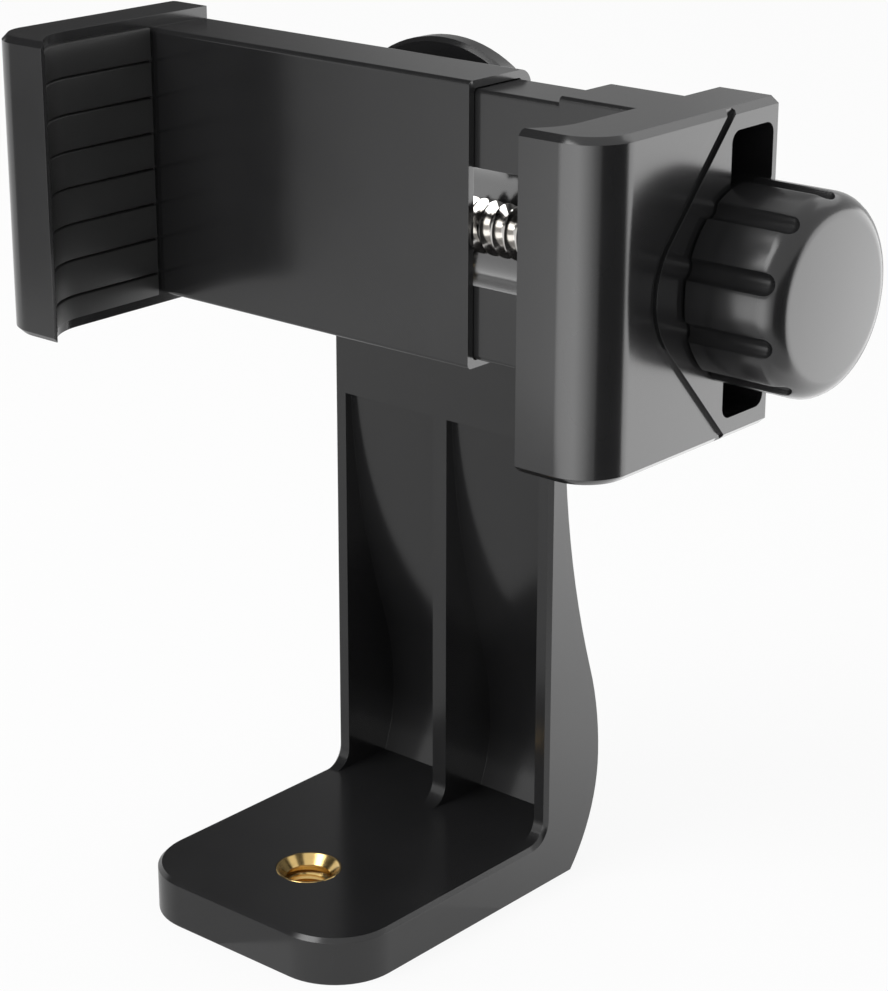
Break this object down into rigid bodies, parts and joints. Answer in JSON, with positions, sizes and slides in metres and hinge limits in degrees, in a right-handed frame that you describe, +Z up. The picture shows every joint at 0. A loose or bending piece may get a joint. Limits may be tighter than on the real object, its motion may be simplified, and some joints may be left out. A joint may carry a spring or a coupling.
{
  "type": "tripod phone mount adapter",
  "caption": "Screw clamp with ribbed pads and a knob, on a swivel at the top of a ribbed L bracket with a tripod socket in its foot.",
  "frame": {"origin": "Axis of the tripod socket, at the underside of the foot.", "axes": "X along the clamp towards its knob, Y from the phone's side to the back of the bracket, Z up."},
  "size_m": [0.1027, 0.0496, 0.1064],
  "materials": {
    "black_plastic": "satin moulded",
    "knob_plastic": "satin moulded",
    "black_rubber": "matt",
    "brass": "turned",
    "bright_steel": "bright zinc plated",
    "dark_steel": "dark spring steel"
  },
  "bodies": {
    "bracket": {"bracket": "black_plastic", "tripod_insert": "brass"},
    "clamp": {"clamp_body": "black_plastic", "fixed_jaw_pad": "black_rubber", "clamp_nut": "brass", "swivel_nut": "bright_steel", "swivel_screw": "bright_steel", "swivel_washer": "bright_steel", "spring_washer": "dark_steel", "friction_ring": "black_rubber"},
    "jaw": {"moving_jaw": "black_plastic", "moving_jaw_pad": "black_rubber"},
    "knob": {"clamp_knob": "knob_plastic", "clamp_screw": "bright_steel", "retaining_clip": "dark_steel", "clip_washer": "bright_steel", "thrust_washer": "bright_steel"}
  },
  "joints": [
    {"name": "swivel", "type": "hinge", "parent": "bracket", "child": "clamp", "pos_m": [0, 0.0247, 0.0877], "axis": [0, 1, 0], "continuous": true},
    {"name": "jaw_slide", "type": "slide", "parent": "clamp", "child": "jaw", "axis": [1, 0, 0], "range_m": [-0.0124, 0.016]},
    {"name": "knob_turn", "type": "hinge", "parent": "jaw", "child": "knob", "pos_m": [0.058, 0.0129, 0.0877], "axis": [1, 0, 0], "range_deg": [-2600, 3320]}
  ],
  "couplings": [
    {"joint": "knob_turn", "follows": "jaw_slide", "rad_per_m": 3590.4}
  ]
}
